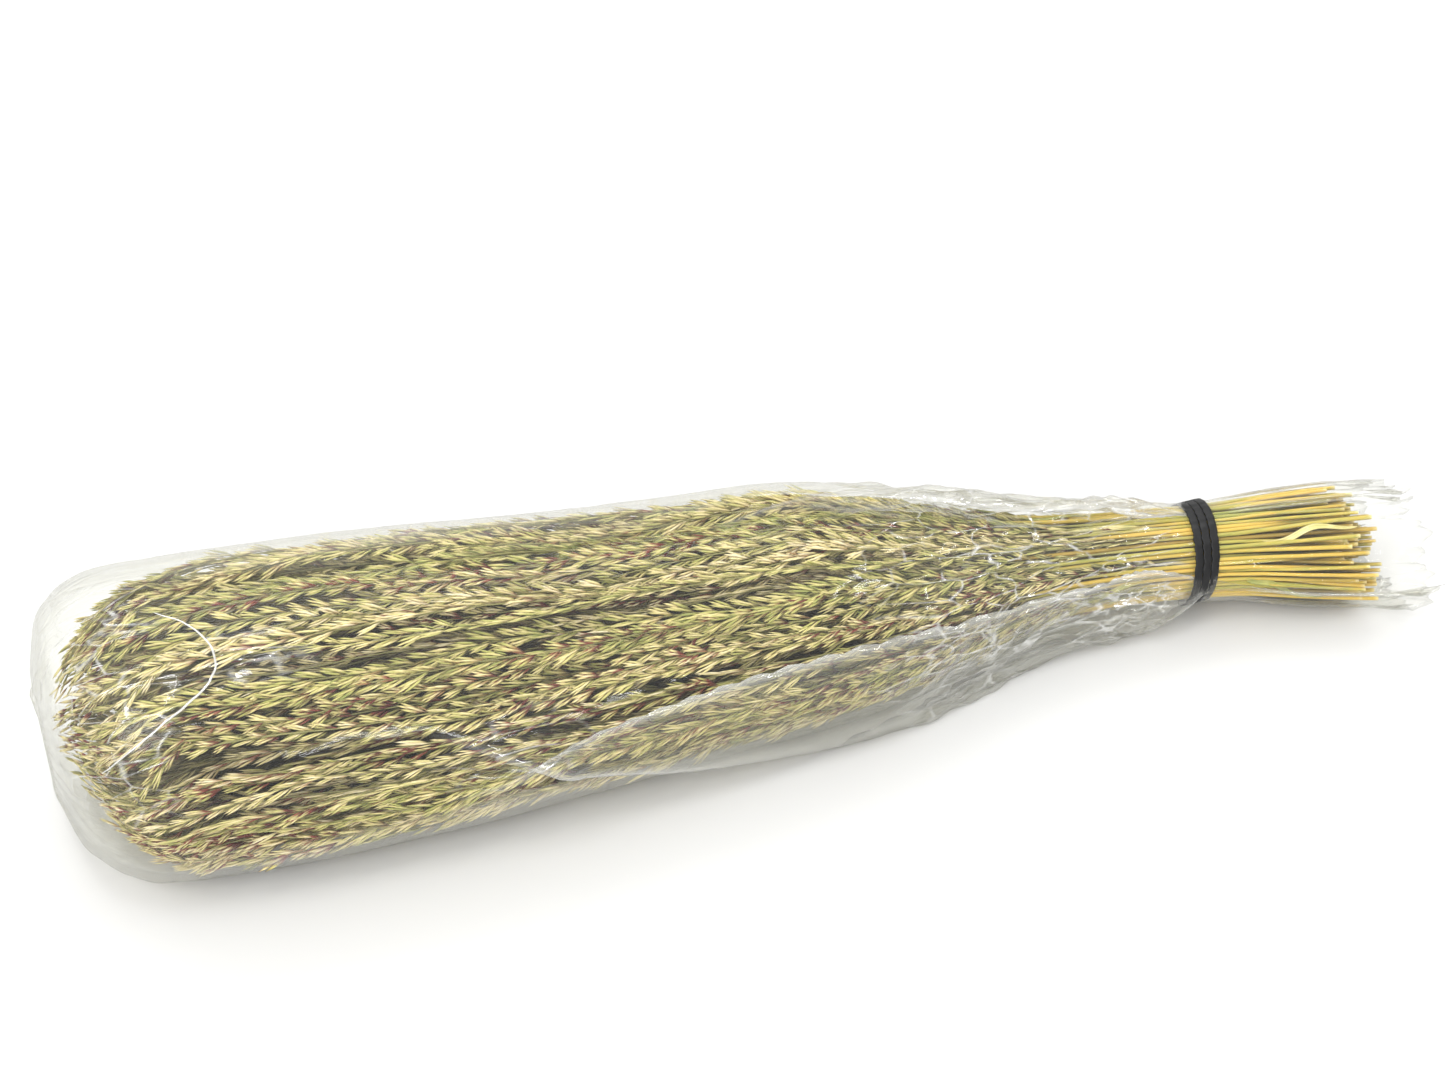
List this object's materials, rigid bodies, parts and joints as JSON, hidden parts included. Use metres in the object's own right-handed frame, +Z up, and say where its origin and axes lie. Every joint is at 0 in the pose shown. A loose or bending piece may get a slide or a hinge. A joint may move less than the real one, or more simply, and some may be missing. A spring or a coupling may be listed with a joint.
{
  "type": "bundle of dried grass",
  "caption": "Lying bundle of dried ornamental grass with long braided seed heads, tied near the cut ends by a wound rubber band, in a clear film sleeve that is open past the stems.",
  "frame": {"origin": "on the table, under the middle of the whole bundle", "axes": "+X runs along the bundle from the seed heads to the cut ends, +Y to the side, +Z up from the table"},
  "size_m": [0.6706, 0.1638, 0.128],
  "materials": {
    "dried_grass": "matte, dry straw green",
    "band_rubber": "satin black",
    "clear_film": "clear glossy film"
  },
  "bodies": {
    "root": {"stalks_core": "dried_grass", "stalks_inner_1": "dried_grass", "stalks_inner_2": "dried_grass", "stalks_inner_3": "dried_grass", "stalks_inner_4": "dried_grass", "stalks_inner_5": "dried_grass", "stalks_inner_6": "dried_grass", "stalks_middle_1": "dried_grass", "stalks_middle_2": "dried_grass", "stalks_middle_3": "dried_grass", "stalks_middle_4": "dried_grass", "stalks_middle_5": "dried_grass", "stalks_middle_6": "dried_grass", "stalks_middle_7": "dried_grass", "stalks_middle_8": "dried_grass", "stalks_middle_9": "dried_grass", "stalks_middle_10": "dried_grass", "stalks_middle_11": "dried_grass", "stalks_middle_12": "dried_grass", "stalks_outer_1": "dried_grass", "stalks_outer_2": "dried_grass", "stalks_outer_3": "dried_grass", "stalks_outer_4": "dried_grass", "stalks_outer_5": "dried_grass", "stalks_outer_6": "dried_grass", "stalks_outer_7": "dried_grass", "stalks_outer_8": "dried_grass", "stalks_outer_9": "dried_grass", "stalks_outer_10": "dried_grass", "stalks_outer_11": "dried_grass", "stalks_outer_12": "dried_grass", "stalks_outer_13": "dried_grass", "stalks_outer_14": "dried_grass", "stalks_outer_15": "dried_grass", "stalks_outer_16": "dried_grass", "stalks_outer_17": "dried_grass", "stalks_outer_18": "dried_grass", "rubber_band": "band_rubber", "sleeve": "clear_film"}
  },
  "joints": []
}
